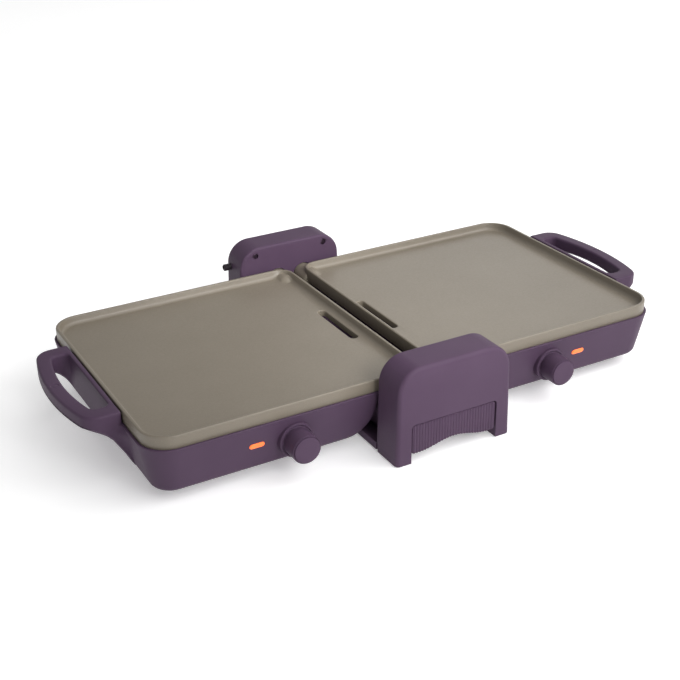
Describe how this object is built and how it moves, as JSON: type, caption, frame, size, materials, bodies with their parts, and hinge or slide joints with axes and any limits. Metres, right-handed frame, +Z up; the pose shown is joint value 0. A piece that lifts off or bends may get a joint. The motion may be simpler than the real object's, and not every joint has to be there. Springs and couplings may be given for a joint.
{
  "type": "electric griddle",
  "caption": "Fold-up electric griddle: plates on heated bases that hinge up between towers, with end handles, thermostat knobs, indicator lights and a sliding drip tray.",
  "frame": {"origin": "on the table, under the middle of the gap between the plates, midway between the towers", "axes": "+X along the griddle towards the right-hand handle, +Y from the ribbed tray front to the back, +Z up"},
  "size_m": [0.63, 0.355, 0.095],
  "materials": {
    "coated_plate": "matt ceramic non-stick coating on cast aluminium",
    "plum_plastic": "fine satin moulded plastic",
    "knob_plastic": "fine satin moulded plastic",
    "sheath_steel": "dull sheathed tube",
    "plated_steel": "zinc plated",
    "blackened_steel": "black oxide",
    "shield_steel": "bright sheet",
    "phenolic": "moulded phenolic",
    "amber_lens": "translucent amber",
    "lamp_glass": "clear",
    "wire_sleeve": "braided sleeve",
    "rubber": "soft matt",
    "bronze": "sintered bronze"
  },
  "bodies": {
    "stand": {"center_base": "plum_plastic", "front_tower": "plum_plastic", "rear_tower": "plum_plastic", "front_inner_cover": "plum_plastic", "rear_inner_cover": "plum_plastic", "front_hinge_bushes": "bronze", "rear_hinge_bushes": "bronze", "cover_screws": "blackened_steel", "base_screws": "plated_steel", "base_feet": "rubber", "cord_gland": "rubber", "junction_block": "phenolic", "junction_wires": "wire_sleeve"},
    "left_half": {"left_griddle_plate": "coated_plate", "left_base_shell": "plum_plastic", "left_heating_element": "sheath_steel", "left_element_clips": "plated_steel", "left_heat_shield": "shield_steel", "left_thermostat": "phenolic", "left_knob_ring": "knob_plastic", "left_indicator_lens": "amber_lens", "left_indicator_lamp": "lamp_glass", "left_terminal_block": "phenolic", "left_lead_wires": "wire_sleeve", "left_hinge_pins": "plated_steel", "left_feet": "rubber", "left_plate_screws": "plated_steel"},
    "left_control": {"left_knob": "knob_plastic", "left_thermostat_shaft": "plated_steel"},
    "right_half": {"right_griddle_plate": "coated_plate", "right_base_shell": "plum_plastic", "right_heating_element": "sheath_steel", "right_element_clips": "plated_steel", "right_heat_shield": "shield_steel", "right_thermostat": "phenolic", "right_knob_ring": "knob_plastic", "right_indicator_lens": "amber_lens", "right_indicator_lamp": "lamp_glass", "right_terminal_block": "phenolic", "right_lead_wires": "wire_sleeve", "right_hinge_pins": "plated_steel", "right_feet": "rubber", "right_plate_screws": "plated_steel"},
    "right_control": {"right_knob": "knob_plastic", "right_thermostat_shaft": "plated_steel"},
    "tray": {"drip_tray": "plum_plastic", "tray_front": "plum_plastic"}
  },
  "joints": [
    {"name": "left_fold", "type": "hinge", "parent": "stand", "child": "left_half", "pos_m": [-0.0155, 0, 0.055], "axis": [0, 1, 0], "range_deg": [0, 90]},
    {"name": "right_fold", "type": "hinge", "parent": "stand", "child": "right_half", "pos_m": [0.0155, 0, 0.055], "axis": [0, -1, 0], "range_deg": [0, 90]},
    {"name": "left_knob_turn", "type": "hinge", "parent": "left_half", "child": "left_control", "pos_m": [-0.139, -0.15, 0.033], "axis": [0, -1, 0], "range_deg": [-270, 0]},
    {"name": "right_knob_turn", "type": "hinge", "parent": "right_half", "child": "right_control", "pos_m": [0.139, -0.15, 0.033], "axis": [0, -1, 0], "range_deg": [-270, 0]},
    {"name": "tray_slide", "type": "slide", "parent": "stand", "child": "tray", "axis": [0, -1, 0], "range_m": [0, 0.2]}
  ]
}
